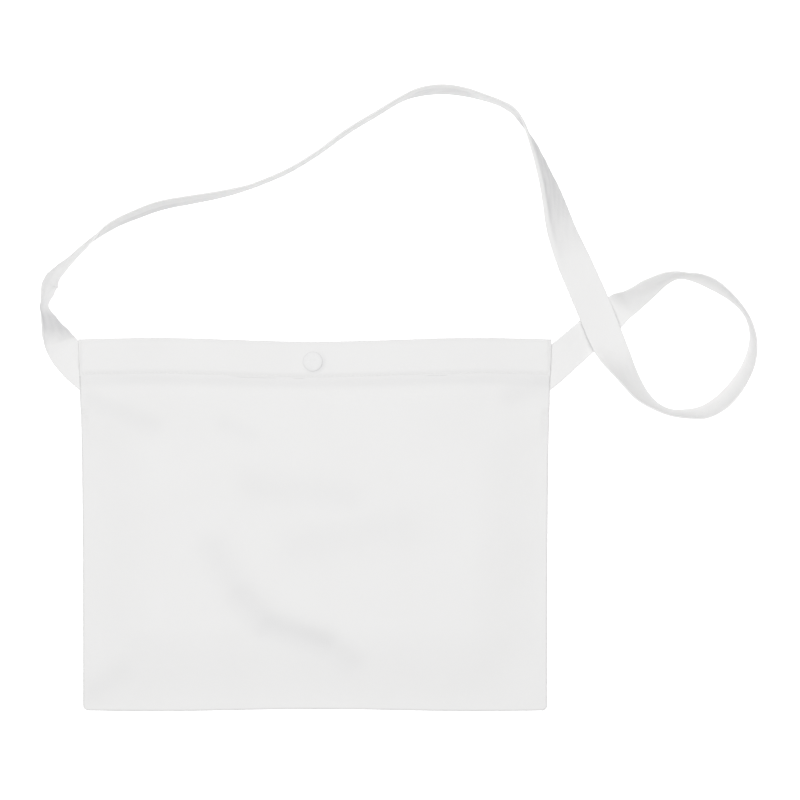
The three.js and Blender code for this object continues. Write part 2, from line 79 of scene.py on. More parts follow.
# %% Sizes read from the solids
back_low, back_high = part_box("back_panel")
hem_low, hem_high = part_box("front_hem")
MOUTH_WIDTH = hem_high.x - hem_low.x
HALF_MOUTH = MOUTH_WIDTH / 2
POUCH_HEIGHT = 280 * MM
HALF_HEIGHT = POUCH_HEIGHT / 2
FOOT_WIDTH = 351 * MM
MOUTH_FLARE = 3
CORNER_RADIUS = 3.5 * MM
CLOTH = 1 * MM
GAP = 0.3 * MM
PITCH = CLOTH + GAP
HEM_HEIGHT = 28 * MM
print("mouth:", round(MOUTH_WIDTH / MM), "mm, back cloth:", (back_high - back_low)[:])


# %% Small helpers for easing between values
def clamp(value, low=0.0, high=1.0):
    return max(low, min(high, value))


def smooth(start, end, value):
    share = clamp((value - start) / (end - start))
    return share * share * (3 - 2 * share)


def mix(a, b, share):
    return a + (b - a) * share


def ripple(place, size, seed):
    """Soft noise from -1 to 1 with bumps about one size wide."""
    return noise.noise(Vector((place[0] / size, place[1] / size, seed)))


# %% [markdown]
# ## The pouch's outline
# The mouth and the foot aren't straight: both edges wander by about a millimetre, as cut and sewn
# cloth does. The sides flare a little near the mouth, where the strap's ends spread them.
# One function for each edge keeps the panels and the hems on the same line.

# %% Outline of the pouch
MOUTH_DIP = 1.4 * MM
FOOT_DIP = 0.8 * MM
EDGE_WAVES = 0.7


def edge_wave(across):
    return math.cos(2 * math.pi * EDGE_WAVES * across)


def mouth_line(across):
    return HALF_HEIGHT - MOUTH_DIP * edge_wave(across)


def foot_line(across):
    return -HALF_HEIGHT + FOOT_DIP * edge_wave(across)


def half_width(y):
    share = clamp((y + HALF_HEIGHT) / POUCH_HEIGHT)
    in_corner = clamp(CORNER_RADIUS - (y + HALF_HEIGHT), 0, CORNER_RADIUS)
    pulled_in = CORNER_RADIUS - math.sqrt(CORNER_RADIUS ** 2 - in_corner ** 2)
    return mix(FOOT_WIDTH, MOUTH_WIDTH, share ** MOUTH_FLARE) / 2 - pulled_in


# %% [markdown]
# ## A cloth from a grid
# A sheet of cloth starts as a flat grid, and each of its points is then laid where the cloth
# goes. The grid's own flat place is kept as a UV map in metres, so the weave stays square to the
# threads wherever the cloth bends. Each point also keeps a painted shade, which darkens its colour
# where the cloth lies in shade. A sheet can be closed on itself, round a tape's or a hem's
# section, and its ends filled.
# The other pieces are made from a bmesh in the same way.

# %% Make a piece from a laid grid
MERGE = 0.001 * MM


def smooth_faces(bm):
    for face in bm.faces:
        face.smooth = True


def piece_from(bm, name):
    """A new piece in the scene, made from a bmesh that isn't needed any more."""
    mesh = bpy.data.meshes.new(name)
    bm.to_mesh(mesh)
    bm.free()
    piece = bpy.data.objects.new(name, mesh)
    bpy.context.scene.collection.objects.link(piece)
    print(name, len(mesh.polygons), "faces")
    return piece


def laid_grid(name, columns, rows, lay, closed=False):
    """A sheet: lay(u, v) gives each point's place, its flat place and its painted shade."""
    bm = bmesh.new()
    bmesh.ops.create_grid(bm, x_segments=columns, y_segments=rows, size=0.5)
    weave = bm.loops.layers.uv.new("cloth")
    painted_shade = bm.verts.layers.float.new("painted_shade")
    flat = {}
    for vert in bm.verts:
        vert.co, flat[vert], vert[painted_shade] = lay(vert.co.x + 0.5, vert.co.y + 0.5)
    smooth_faces(bm)
    for face in bm.faces:
        for loop in face.loops:
            loop[weave].uv = flat[loop.vert]
    if closed:
        bmesh.ops.remove_doubles(bm, verts=bm.verts[:], dist=MERGE)
        rims = [edge for edge in bm.edges if edge.is_boundary]
        caps = bmesh.ops.holes_fill(bm, edges=rims, sides=0)["faces"]
        bmesh.ops.triangulate(bm, faces=caps)
        bmesh.ops.recalc_face_normals(bm, faces=bm.faces[:])
    return piece_from(bm, name)


def thicken(piece, thickness, offset=-1):
    """A wall under the laid surface, or over it with an offset of 1."""
    wall = piece.modifiers.new("thickness", "SOLIDIFY")
    wall.thickness = thickness
    wall.offset = offset
    wall.use_even_offset = True
    return piece


def eased(share, pull=0.5):
    """A share from 0 to 1 whose steps are shorter towards both ends."""
    place = 2 * share - 1
    return (mix(place, math.sin(place * math.pi / 2), pull) + 1) / 2


# %% [markdown]
# ## Heights of the layers
# The back cloth lies on the floor and the front one bulges over it. Where the strap's ends are
# tucked in between them, the front is lifted, and it comes down below them over a ramp. At the
# mouth, the hem gapes a little on both sides of the snap. These heights match the solids, so the
# dressed bag keeps their form.

# %% Heights at the mouth and over the body
POUCH_ROOM = 8 * MM
SEAM_MARGIN = 5 * MM
SIDE_SWELL = 54 * MM
FOOT_SWELL = 60 * MM
HEM_EDGE = 1.5 * MM
HEM_FADE = 62 * MM
HEM_GROOVE = 0.9 * MM
GROOVE_EASE = 5 * MM
GROOVE_FLOOR = 7.5 * MM
GROOVE_WIDTH = 18 * MM
MOUTH_GAPE = 6.6 * MM
BACK_RAMP = 9 * MM
TAPE_WIDTH = 25 * MM
TAPE = 1.2 * MM
STRAP_RISE = 194 * MM
SEAM_TUCK = 11 * MM
STRAP_TUCK = 0.26
STRAP_DEPTH = STRAP_TUCK * STRAP_RISE
STRAP_CLEAR = 4 * MM
SEAT_RAMP = 8 * STRAP_CLEAR
END_ZONE = SEAM_TUCK + STRAP_CLEAR
BACK_TOP = PITCH + CLOTH
STRAP_SEAT = BACK_TOP + GAP
FRONT_AT_STRAP = STRAP_SEAT + TAPE + GAP
BACK_HEM_TOP = BACK_TOP + PITCH
cap_low, cap_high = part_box("snap_cap")
CAP_MIDDLE = (cap_low + cap_high) / 2
CAP_DIAMETER = cap_high.x - cap_low.x
CAP_HEIGHT = 2.6 * MM
FRONT_AT_SNAP = cap_high.z - CAP_HEIGHT - GAP - CLOTH - PITCH
FRONT_AT_GAPE = BACK_HEM_TOP + MOUTH_GAPE + PITCH


def seat_height(down):
    start = max(STRAP_DEPTH, HEM_HEIGHT + HEM_EDGE + BACK_RAMP) + STRAP_CLEAR
    return mix(FRONT_AT_STRAP, PITCH, smooth(start, start + SEAT_RAMP, down))


def mouth_underside(x):
    far = abs(x)
    crest = MOUTH_WIDTH / 4
    end = HALF_MOUTH - END_ZONE
    inner = mix(FRONT_AT_SNAP, FRONT_AT_GAPE, smooth(CAP_DIAMETER, crest, far))
    return mix(inner, FRONT_AT_STRAP, smooth(crest, end, far))


print("front cloth at the snap:", round(FRONT_AT_SNAP / MM, 1), "mm up")

# %% [markdown]
# ## Dents and folds of the front
# The front cloth shows a crescent dent low on the left, two soft bands above it, and drag lines
# that run from both upper corners. Each is a straight stretch with a soft edge. Its place is a
# share of half the pouch's width and of its height, so it moves with them.

# %% The table of folds
FOLDS = [
    # across, up, to across, to up, width, depth
    (-0.43, 0.43, -0.32, 0.31, 0.045, 0.18),
    (-0.32, 0.31, -0.20, 0.23, 0.040, 0.28),
    (-0.20, 0.23, 0.04, 0.18, 0.038, 0.36),
    (0.04, 0.18, 0.16, 0.13, 0.035, 0.20),
    (-0.27, 0.60, 0.15, 0.57, 0.045, 0.12),
    (-0.07, 0.44, 0.36, 0.49, 0.055, 0.10),
    (-0.96, 0.84, -0.70, 0.77, 0.030, 0.16),
    (-0.88, 0.87, -0.66, 0.85, 0.025, -0.12),
    (0.84, 0.85, 0.97, 0.88, 0.030, 0.18),
    (-0.38, 0.77, -0.28, 0.74, 0.030, 0.10),
    (-0.95, 0.05, -0.84, 0.10, 0.035, 0.16),
]
FOLD_JOIN = 5


def off_line(point, start, end):
    """How far a point lies from a straight stretch."""
    along = end - start
    share = clamp((point - start).dot(along) / along.dot(along))
    return (point - start - along * share).length


def fold_place(across, up):
    return Vector((across * half_width(0), up * POUCH_HEIGHT - HALF_HEIGHT))


def relief(x, y):
    dent = ridge = 0
    point = Vector((x, y))
    for across, up, to_across, to_up, width, share in FOLDS:
        far = off_line(point, fold_place(across, up), fold_place(to_across, to_up))
        depth = share * math.exp(-(far / (width * POUCH_HEIGHT)) ** 2)
        dent += max(depth, 0) ** FOLD_JOIN
        ridge += max(-depth, 0) ** FOLD_JOIN
    return POUCH_ROOM * (dent ** (1 / FOLD_JOIN) - ridge ** (1 / FOLD_JOIN))


def front_underside(x, y, across):
    down = mouth_line(across) - y
    side = half_width(y) - abs(x)
    foot = y - foot_line(across)
    fill = smooth(SEAM_MARGIN, SEAM_MARGIN + SIDE_SWELL, side)
    fill *= smooth(SEAM_MARGIN, SEAM_MARGIN + FOOT_SWELL, foot)
    seat = seat_height(down)
    body = seat + (CLOTH + POUCH_ROOM - relief(x, y) - seat) * fill
    past = down - HEM_HEIGHT - HEM_EDGE
    groove = HEM_GROOVE * fill * smooth(-HEM_EDGE, GROOVE_EASE, past)
    groove *= 1 - smooth(GROOVE_FLOOR, GROOVE_WIDTH, past)
    return mix(mouth_underside(x), body, smooth(0, HEM_FADE, past)) - groove


# %% [markdown]
# ## The front cloth
# A sewn and turned panel rolls over at its sides and foot, down to the seam. The outermost points
# of the grid are lowered for that roll. Small puckers run in from the seam, and the rest of the
# cloth is never quite even, so it gets a faint ripple.

# %% Front panel
ROLL = 1.3 * MM
FRONT_ROLL_SHARE = 0.8
PUCKER = 0.22 * MM
PUCKER_LENGTH = 9 * MM
PUCKER_START = 3 * MM
PUCKER_SIZE = 6 * MM
SEAM_PULL = 8 * MM
EVENNESS = 0.25 * MM
EVEN_MARGIN = 30 * MM
COARSE_RIPPLE = 45 * MM
FINE_RIPPLE = 19 * MM
FINE_SHARE = 0.5
# Painted shade: the front's dents and the groove below the hem are darkened in colour.
DENT_PAINTED_SHADE = 0.8
GROOVE_PAINTED_SHADE = 0.12
BELOW_MOUTH = CLOTH + 3.5 * GAP
WALL = 0.9 * CLOTH
FRONT_CELLS = 200, 160


def seam_roll(inset):
    """How far a panel's edge has turned down, by its distance in from the edge."""
    off = clamp(ROLL - inset, 0, ROLL)
    return ROLL - math.sqrt(ROLL ** 2 - off ** 2)


def edge_distance(x, y, across):
    return min(half_width(y) - abs(x), y - foot_line(across))


def seam_drop(down, inset):
    """Below the strap's end, the side seam pulls the lifted cloth down at its edge."""
    below = smooth(STRAP_DEPTH, STRAP_DEPTH + SEAM_PULL, down)
    return (seat_height(down) - PITCH) * below * (1 - smooth(0, SEAM_PULL, inset))


def front_surface(x, y, across):
    inset = edge_distance(x, y, across)
    puckered = math.exp(-(inset / PUCKER_LENGTH) ** 2) * smooth(0, PUCKER_START, inset)
    pucker = PUCKER * puckered * ripple((x, y), PUCKER_SIZE, seed=1)
    uneven = EVENNESS * smooth(0, EVEN_MARGIN, inset) * (
        ripple((x, y), COARSE_RIPPLE, seed=2) + FINE_SHARE * ripple((x, y), FINE_RIPPLE, seed=3))
    dropped = FRONT_ROLL_SHARE * seam_roll(inset) + seam_drop(mouth_line(across) - y, inset)
    return front_underside(x, y, across) + CLOTH + pucker + uneven - dropped


def outline_place(u, v):
    """A point inside the outline: u across from left to right, v up from the foot."""
    across = 2 * eased(u) - 1
    y = mix(foot_line(across), mouth_line(across) - BELOW_MOUTH, eased(v))
    return across * half_width(y), y, across


def front_painted_shade(x, y, across):
    """Painted shade on the front cloth: in its dents, and in the groove below the hem."""
    past = mouth_line(across) - y - HEM_HEIGHT
    dented = DENT_PAINTED_SHADE * max(0, relief(x, y)) / POUCH_ROOM
    in_groove = smooth(-GROOVE_EASE, 0, past)
    return dented + GROOVE_PAINTED_SHADE * in_groove * (1 - smooth(GROOVE_EASE, 2 * GROOVE_EASE, past))


def lay_front(u, v):
    x, y, across = outline_place(u, v)
    place = Vector((x, y, front_surface(x, y, across)))
    return place, (x, y), front_painted_shade(x, y, across)


front_cloth = thicken(laid_grid("front_cloth", *FRONT_CELLS, lay_front), WALL)

# %% [markdown]
# ## The back cloth
# It lies flat on the floor, turns up at its seams, and steps up over the hem's outer leg. Its
# points are those of its lower side, so its wall is built upwards from them.

# %% Back panel
BACK_CELLS = 90, 70
BACK_ROLL_SHARE = 0.7
BACK_UNEVEN = 0.05 * MM
BACK_RIPPLE = 24 * MM


def back_underside(down):
    start = HEM_HEIGHT + HEM_EDGE
    return PITCH * (1 - smooth(start, start + BACK_RAMP, down))


def lay_back(u, v):
    x, y, across = outline_place(u, v)
    rolled = BACK_ROLL_SHARE * seam_roll(edge_distance(x, y, across))
    lift = BACK_UNEVEN * (1 + ripple((x, y), BACK_RIPPLE, seed=5)) + rolled
    return Vector((x, y, back_underside(mouth_line(across) - y) + lift)), (x, y), 0


back_cloth = thicken(laid_grid("back_cloth", *BACK_CELLS, lay_back), WALL, offset=1)

# %% [markdown]
# ## The hems
# Each mouth edge is folded over and stitched down, which makes a firm band. Its section is a
# hairpin: an outer leg, a round fold, and an inner leg. Going once all round that section gives
# a closed band with real thickness. The outer leg thins towards its stitched edge, where the
# thread pulls it into the panel.

# %% Section of a folded hem
FOLD_STEPS = 10
LEG_STEPS = 18
CLOSER_AT_EDGE = 1.5
EDGE_SOFT = 5 * MM
EDGE_SINK = 0.1 * MM
OUTER_RADIUS = CLOTH / 2 + PITCH
INNER_RADIUS = CLOTH / 2 + GAP
THINNEST = 0.1 * MM


def outer_leg(edge):
    """The outer leg's height over the panel's middle, by the distance from its stitched edge."""
    return mix(CLOTH / 2 - EDGE_SINK, OUTER_RADIUS, smooth(0, EDGE_SOFT, edge))


def hem_section():
    """Stops once round the hairpin: how far down, its turn, and 1 outside or 0 inside."""
    down = [mix(HEM_HEIGHT, 0, (step / LEG_STEPS) ** CLOSER_AT_EDGE) for step in range(LEG_STEPS)]
    turns = [math.pi * step / FOLD_STEPS for step in range(FOLD_STEPS + 1)]
    outer = [(far, 0, 1) for far in down]
    outer += [(0, turn, 1) for turn in turns]
    outer += [(far, math.pi, 1) for far in reversed(down)]
    inner = [(far, turn, 0) for far, turn, _ in reversed(outer)]
    return outer + inner + outer[:1]


HEM_SECTION = hem_section()
print("hem section:", len(HEM_SECTION), "stops")

# %% [markdown]
# The section then runs along the mouth. The band's ends roll down into the side seams. The snap's
# cap presses its rim into the cloth, most at the lower right, where a crescent of painted shadow
# is added. Near its stitched edge the hem gets painted shade too.
# A stop that has turned by less than a radian still belongs to the outer leg.

# %% The hems along the mouth
HEM_COLUMNS = 260
END_ROLL = 1.2 * MM
END_ROLL_WIDTH = 4 * MM
OUTER_LEG_TURN = 1
HEM_UNEVEN = 0.12 * MM
HEM_RIPPLE = 14 * MM
CAP_PRESS = 0.6 * MM
PRESS_REACH = 2 * MM
LOWER_RIGHT = Vector((0.8, -0.6))
# Painted shadow: a grey crescent beside the cap's lower right rim.
SNAP_PAINTED_SHADOW = 0.45


def cap_press(x, y):
    """How much the cap presses the hem in round its rim, from 0 to 1 at its lower right."""
    away = Vector((x - CAP_MIDDLE.x, y - CAP_MIDDLE.y))
    rim = math.exp(-((away.length - CAP_DIAMETER / 2) / PRESS_REACH) ** 2)
    facing = away.normalized().dot(LOWER_RIGHT)
    return rim * (0.5 + 0.5 * facing) ** 2


def lay_hem(underside, upper_sign):
    def lay(u, v):
        across = 2 * eased(u) - 1
        far, turn, outside = HEM_SECTION[round(v * (len(HEM_SECTION) - 1))]
        x = across * half_width(mouth_line(across) - far)
        radius = outer_leg(HEM_HEIGHT - far)
        if not outside:
            radius = min(INNER_RADIUS, radius - THINNEST)
        y = mouth_line(across) - OUTER_RADIUS - max(0, far - OUTER_RADIUS)
        y += radius * math.sin(turn)
        z = underside(x) + CLOTH / 2 + upper_sign * radius * math.cos(turn)
        on_outer_leg = turn < OUTER_LEG_TURN
        pressed = cap_press(x, y) if upper_sign > 0 else 0
        if outside and on_outer_leg:
            end = half_width(HALF_HEIGHT) - abs(x)
            z -= upper_sign * END_ROLL * (1 - smooth(0, END_ROLL_WIDTH, end))
            z -= CAP_PRESS * pressed
            z += HEM_UNEVEN * ripple((x, y), HEM_RIPPLE, seed=7)
        path = far if on_outer_leg else 2 * HEM_HEIGHT - far
        # Painted shade near the stitched edge, and the painted shadow crescent by the snap.
        painted_shade = GROOVE_PAINTED_SHADE * (1 - smooth(0, EDGE_SOFT, HEM_HEIGHT - far))
        return Vector((x, y, z)), (x, path), painted_shade + SNAP_PAINTED_SHADOW * pressed

    return lay


front_hem_band = laid_grid(
    "front_hem_band", HEM_COLUMNS, len(HEM_SECTION) - 1, lay_hem(mouth_underside, 1), closed=True)
back_hem_band = laid_grid(
    "back_hem_band", HEM_COLUMNS // 2, len(HEM_SECTION) - 1,
    lay_hem(lambda x: PITCH, -1), closed=True)

# %% [markdown]
# ## The strap's route
# The tape leaves the right seam, goes round a loop, passes over itself, and runs along the top
# and down to the left seam. Nothing holds it, so it stands on one edge over long stretches, as
# tape does when it's laid out in curves. Each row of the table places that lower edge and says
# how far the tape leans up from it. Where it's creased lengthwise, the row also says at what
# share of its width, and by how many degrees it bends over there.
# Over tells what the tape lies on: 1 is its seat between the two cloths, and more than 1 counts
# layers of tape. Wide scales its width. Painted shade tells how much shade is painted on the tape,
# from a start at a share of its width inwards. With a minus sign, the start is where the painted
# shade ends instead.

# %% The table of the strap
STRAP = [
    # across, up, lean, crease, bend, over, wide, painted shade, start
    (0.920, -0.260, 0, 1, 0, 1, 1.12, 0, 0),
    (0.994, -0.198, 0, 1, 0, 1, 1.12, 0, 0),
    (1.045, -0.160, 0, 1, 0, 1, 1.08, 0, 0),
    (1.110, -0.105, 0, 1, 0, 1, 1.02, 0, 0),
    (1.191, -0.039, 0, 1, 0, 0, 1, 0, 0),
    (1.292, 0.043, 0, 1, 0, 0, 1, 0, 0),
    (1.329, 0.080, 9, 1, 0, 0, 0.94, 0, 0),
    (1.369, 0.113, 36, 1, 0, 0, 0.95, 0, 0),
    (1.436, 0.170, 56, 0.75, 16, 0, 1, 0, 0),
    (1.492, 0.218, 77, 0.7, 30, 0, 1, 0, 0),
    (1.546, 0.240, 85, 0.8, 14, 0, 1, 0, 0),
    (1.602, 0.230, 80, 1, 0, 0, 1, 0, 0),
    (1.661, 0.206, 78, 1, 0, 0, 1, 0.05, 0),
    (1.725, 0.175, 84, 1, 0, 0, 1, 0.15, 0),
    (1.784, 0.136, 91, 1, 0, 0, 1, 0.25, 0),
    (1.827, 0.086, 94, 1, 0, 0, 1, 0.25, 0),
    (1.844, 0.023, 91, 1, 0, 0, 1, 0.2, 0),
    (1.835, -0.039, 84, 1, 0, 0, 1, 0, 0),
    (1.806, -0.105, 77, 1, 0, 0, 1, 0, 0),
    (1.755, -0.171, 71, 1, 0, 0, 1, 0, 0),
    (1.695, -0.226, 68, 1, 0, 0, 1, 0, 0),
    (1.632, -0.261, 70, 1, 0, 0, 1, 0, 0),
    (1.572, -0.272, 75, 1, 0, 0, 1, 0, 0),
    (1.509, -0.271, 78, 1, 0, 0, 1, 0, 0),
    (1.454, -0.247, 74, 1, 0, 0, 1, 0, 0),
    (1.403, -0.195, 60, 1, 0, 0, 1, 0.1, 0),
    (1.360, -0.117, 44, 1, 0, 0.3, 1, 0.15, 0),
    (1.326, -0.031, 17, 1, 0, 1.2, 1.03, 0, 0),
    (1.288, 0.058, 1, 1, 0, 2.2, 1.05, 0, 0),
    (1.233, 0.183, 0, 1, 0, 2.8, 1.06, 0, 0),
    (1.165, 0.323, 5, 0.9, 6, 0.8, 1.04, 0, 0),
    (1.104, 0.440, 22, 0.9, 20, 0, 1, 0.25, 0),
    (1.056, 0.545, 42, 0.91, 40, 0, 1, 0.6, 0),
    (1.010, 0.634, 57, 0.92, 50, 0, 1, 0.75, 0),
    (0.953, 0.735, 71, 0.93, 56, 0, 1, 0.9, 0),
    (0.911, 0.798, 81, 0.94, 56, 0, 1, 1, 0),
    (0.873, 0.844, 89, 0.94, 30, 0, 1, 1, 0),
    (0.836, 0.884, 91, 1, 10, 0, 1, 0, 0),
    (0.784, 0.914, 90, 1, 0, 0, 1, 0, 0),
    (0.720, 0.934, 91, 1, 0, 0, 1, 0, 0),
    (0.631, 0.953, 95, 1, 0, 0, 1, 0.5, -0.75),
    (0.538, 0.961, 97, 1, 0, 0, 1, 0.55, -0.75),
    (0.444, 0.953, 95, 1, 0, 0, 1, 0.5, -0.75),
    (0.364, 0.930, 90, 1, 0, 0, 1, 0, 0),
    (0.258, 0.872, 90, 1, 0, 0, 1, 0, 0),
    (0.126, 0.798, 90, 1, 0, 0, 1, 0, 0),
    (0.003, 0.716, 89, 1, 0, 0, 1, 0, 0),
    (-0.124, 0.648, 89, 1, 0, 0, 1, 0, 0),
    (-0.256, 0.597, 89, 1, 0, 0, 1, 0, 0),
    (-0.383, 0.560, 94, 1, 0, 0, 1, 0.15, -0.5),
    (-0.523, 0.533, 97, 1, 0, 0, 1, 0.4, -0.5),
    (-0.646, 0.510, 98, 1, 0, 0, 1, 0.6, -0.5),
    (-0.743, 0.479, 97, 1, 0, 0, 1, 0.6, -0.5),
    (-0.837, 0.444, 94, 1, 0, 0, 1, 0.4, -0.5),
    (-0.926, 0.397, 90, 0.7, 24, 0, 1, 0, -0.5),
    (-0.998, 0.350, 86, 0.74, 42, 0, 1, 0, 0),
    (-1.070, 0.304, 78, 0.72, 46, 0, 1, 0.1, 0),
    (-1.125, 0.265, 70, 0.7, 54, 0, 1, 0.1, 0.1),
    (-1.155, 0.222, 64, 0.66, 50, 0, 1, 0.15, 0.3),
    (-1.158, 0.171, 75, 0.7, 61, 0, 1, 0.2, 0.5),
    (-1.158, 0.128, 84, 0.76, 72, 0, 1, 0.6, 0.6),
    (-1.158, 0.085, 77, 0.64, 84, 0, 1, 1, 0.5),
    (-1.155, 0.032, 66, 0.36, 66, 0, 1, 0.8, 0.3),
    (-1.141, -0.030, 44, 0.1, 46, 0.7, 1, 0.1, 0),
    (-1.108, -0.092, 0, 0.1, 0, 1, 1.03, 0, 0),
    (-1.056, -0.148, 0, 1, 0, 1, 1.08, 0, 0),
    (-0.994, -0.198, 0, 1, 0, 1, 1.12, 0, 0),
    (-0.920, -0.260, 0, 1, 0, 1, 1.12, 0, 0),
]

print("strap rows:", len(STRAP))

# %% [markdown]
# A curve through the rows gives the tape's place between them. The lean and the crease stay
# between the values of the rows on both sides, so that the tape doesn't swing past them.

# %% Smooth values between the rows
def between(rows, place):
    """Values of a smooth curve through the rows, at a place counted in rows."""
    before = min(int(place), len(rows) - 2)
    share = place - before
    start, end = rows[before], rows[before + 1]
    behind = rows[before - 1] if before else [2 * a - b for a, b in zip(start, end)]
    last = before + 2 == len(rows)
    ahead = [2 * b - a for a, b in zip(start, end)] if last else rows[before + 2]
    values = []
    for p0, p1, p2, p3 in zip(behind, start, end, ahead):
        leave, arrive = (p2 - p0) / 2, (p3 - p1) / 2
        value = p1 + leave * share
        value += (3 * (p2 - p1) - 2 * leave - arrive) * share ** 2
        value += (2 * (p1 - p2) + leave + arrive) * share ** 3
        values.append(value)
    return values


def layer_height(over):
    return over * STRAP_SEAT if over <= 1 else over * (TAPE + GAP)


ROUTE = [(row[0] * HALF_MOUTH, HALF_HEIGHT + row[1] * STRAP_RISE) for row in STRAP]
STANCE = [row[2:5] for row in STRAP]
LAYERS = [(layer_height(row[5]), *row[6:]) for row in STRAP]


def strap_stance(place):
    """Lean, crease and bend, kept between those of the rows on both sides."""
    row = min(int(place), len(STANCE) - 2)
    values = between(STANCE, place)
    ends = zip(values, STANCE[row], STANCE[row + 1])
    return [clamp(value, min(a, b), max(a, b)) for value, a, b in ends]


def strap_layer(place):
    """Height of what the tape passes over, its width's scale, painted shade and the shade's start.
    """
    row = min(int(place), len(LAYERS) - 2)
    share = smooth(0, 1, place - row)
    return [mix(a, b, share) for a, b in zip(LAYERS[row], LAYERS[row + 1])]


# %% [markdown]
# ## The tape
# A woven tape is thin, and its edges, where the weft turns back, are round. Its section is a flat
# strip with two half-round edges. Where the tape is creased lengthwise, the strip bends over: a
# little way inside a narrow rim it stands steeper first, as a pinched edge does.

# %% Section of the tape
TAPE_CELLS = 24
EDGE_STEPS = 4
CREASE_SOFTNESS = 0.14
RIM_SOFTNESS = 0.045
RIM_CREASES = 0.78, 0.88
RIM_STEEPENING = 0.45
STEEP_AHEAD = 2
STEEP_SPREAD = 1.5
UPRIGHT = 92


def tape_section():
    """Stops once round the tape: share of its width, and which way it faces, in degrees."""
    stops = [(cell / TAPE_CELLS, 90) for cell in range(TAPE_CELLS + 1)]
    stops += [(1, 90 - 180 * step / EDGE_STEPS) for step in range(1, EDGE_STEPS)]
    stops += [(1 - cell / TAPE_CELLS, -90) for cell in range(TAPE_CELLS + 1)]
    stops += [(0, -90 - 180 * step / EDGE_STEPS) for step in range(1, EDGE_STEPS)]
    return stops + stops[:1]


TAPE_SECTION = tape_section()


def tape_middles(width, lean, crease, bend):
    """The tape's middle line from its lower edge: across, height and angle at each cell."""
    rim = smooth(*RIM_CREASES, crease)
    soft = mix(CREASE_SOFTNESS, RIM_SOFTNESS, rim)
    room = rim * clamp(UPRIGHT - lean, 0, RIM_STEEPENING * bend)

    def angle_at(share):
        past_steepest = share - crease + STEEP_AHEAD * soft
        before_crease = math.exp(-(past_steepest / (STEEP_SPREAD * soft)) ** 2)
        bent = bend * smooth(crease - soft, crease + soft, share)
        return math.radians(lean + room * before_crease - bent)

    cell = width / TAPE_CELLS
    across = height = 0
    middles = []
    for step in range(TAPE_CELLS + 1):
        middles.append((across, height, angle_at(step / TAPE_CELLS)))
        angle = angle_at((step + 0.5) / TAPE_CELLS)
        across += cell * math.cos(angle)
        height += cell * math.sin(angle)
    return middles


# %% [markdown]
# ## Wrinkles of the tape
# The table's painted shade is left off the ridges of the wrinkles and off the narrow outer rim
# of a bent-over crease, so that these look lit.
# A crumpled stretch is duller, but for the ridges of its wrinkles and its narrow outer rim.

# %% Wrinkles and painted shade
UNEVEN_FACE = 0.12 * MM
UNEVEN_LENGTH = 22 * MM
UNEVEN_SPAN = 30 * MM
TWIST_WRINKLE = 0.5 * MM
TWIST_BEGINS = 4, 22
TWIST_ENDS = 72, 88
HARD_BENDS = 20, 55
EASY_TWIST = 0.15
WRINKLE_STRETCH = 0.25
WRINKLE_SLANT = 0.45
WRINKLE_SPACING = 7 * MM
RIDGE_SHARPNESS = 4
DARKEST_PAINTED_SHADE = 0.8
OUTER_PAINTED_SHADE = 0.1
RIDGE_PAINTED_LIGHT = 0.5
PAINTED_SHADE_BEFORE = 0.08
PAINTED_SHADE_AFTER = 0.02


def twisted(lean, bend):
    """From 0 to 1: how much a tape at this lean is being twisted, most where it's also bent."""
    twist = smooth(*TWIST_BEGINS, lean) * (1 - smooth(*TWIST_ENDS, lean))
    return twist * mix(EASY_TWIST, 1, smooth(*HARD_BENDS, bend))


def long_wrinkle(travel, share):
    """Narrow ridges from 0 to 1 that run slanting along the tape."""
    place = WRINKLE_STRETCH * travel, share * TAPE_WIDTH + WRINKLE_SLANT * travel
    return max(0, 1 - RIDGE_SHARPNESS * abs(ripple(place, WRINKLE_SPACING, seed=12)))


def wrinkle(travel, share, twist):
    """Lift off the tape's face: faint everywhere, and in ridges where it twists."""
    uneven = UNEVEN_FACE * ripple((travel, share * UNEVEN_SPAN), UNEVEN_LENGTH, seed=11)
    return uneven + TWIST_WRINKLE * twist * long_wrinkle(travel, share)


def tape_painted_shade(share, crease, bend, painted_shade_share, start, travel):
    """Painted shade on the tape at a share of its width."""
    rim = 0
    if bend and crease < 1:
        rim = smooth(*RIM_CREASES, crease) * smooth(crease - RIM_SOFTNESS, crease, share)
    past = smooth(abs(start) - PAINTED_SHADE_BEFORE, abs(start) + PAINTED_SHADE_AFTER, share)
    inner = mix(OUTER_PAINTED_SHADE, 1, past if start >= 0 else 1 - past)
    ridge = RIDGE_PAINTED_LIGHT * long_wrinkle(travel, share)
    return DARKEST_PAINTED_SHADE * painted_shade_share * inner * (1 - rim) * (1 - ridge)


# %% [markdown]
# ## Sweep of the tape
# The sections are set along the route at short steps, square to it, with the tape's lower edge on
# what it lies on. Each knows how far along the tape it is, which places the weave.

# %% The strap from its sections
STEPS_PER_ROW = 8
COURSE_REACH = 0.02


def strap_ring(place, edge, left, travel):
    """One section ring round the tape: its points, and the painted shade at each."""
    lean, crease, bend = strap_stance(place)
    low, wide, painted_shade_share, start_of_painted_shade = strap_layer(place)
    twist = twisted(lean, bend)
    middles = tape_middles((TAPE_WIDTH - TAPE) * wide, lean, crease, bend)
    ring = []
    painted_shades = []
    for share, side in TAPE_SECTION:
        across, height, angle = middles[round(share * TAPE_CELLS)]
        turn = angle + math.radians(side)
        lift = wrinkle(travel, share, twist)
        ring.append((
            across + TAPE / 2 * math.cos(turn) - lift * math.sin(angle),
            height + TAPE / 2 * math.sin(turn) + lift * math.cos(angle)))
        painted_shades.append(tape_painted_shade(share, crease, bend, painted_shade_share, start_of_painted_shade, travel))
    lowest = min(height for _, height in ring)
    start = TAPE / 2 * math.sin(math.radians(clamp(lean, 0, 90)))
    points = [
        (edge + left * (across + TAPE / 2 - start)).to_3d() + Vector((0, 0, height - lowest + low))
        for across, height in ring]
    return points, painted_shades


